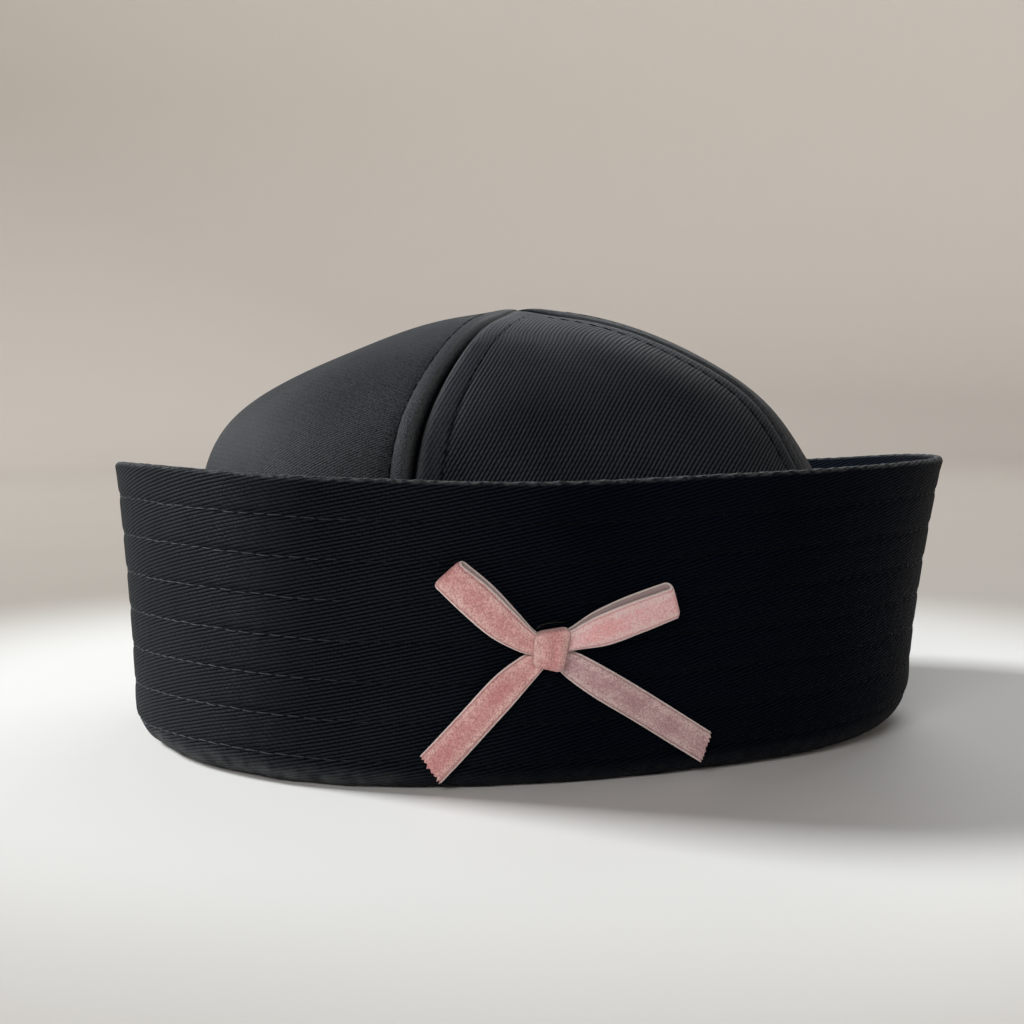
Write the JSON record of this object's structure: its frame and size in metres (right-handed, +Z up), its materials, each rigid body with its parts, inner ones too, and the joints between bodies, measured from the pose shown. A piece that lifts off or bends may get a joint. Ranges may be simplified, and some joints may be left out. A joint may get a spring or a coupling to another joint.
{
  "type": "sailor cap",
  "caption": "Soft twill sailor cap with a gored dome crown, a deep stitched brim turned up all round and a small ribbon bow on the brim.",
  "frame": {"origin": "centre of the outline, on the surface that the cap stands on", "axes": "+Z up; -Y towards the front, where the bow is, a little to the left of it; +X to the right, along the oval's long side"},
  "size_m": [0.2143, 0.1902, 0.106],
  "materials": {
    "black_twill": "matte cotton twill with a faint sheen",
    "pink_velvet": "soft velvet pile with a pale edge"
  },
  "bodies": {
    "root": {"brim": "black_twill", "crown_gore_front": "black_twill", "crown_gore_right": "black_twill", "crown_gore_back": "black_twill", "crown_gore_left": "black_twill", "bow_knot": "pink_velvet", "bow_loop_left": "pink_velvet", "bow_loop_right": "pink_velvet", "bow_tail_left": "pink_velvet", "bow_tail_right": "pink_velvet"}
  },
  "joints": []
}
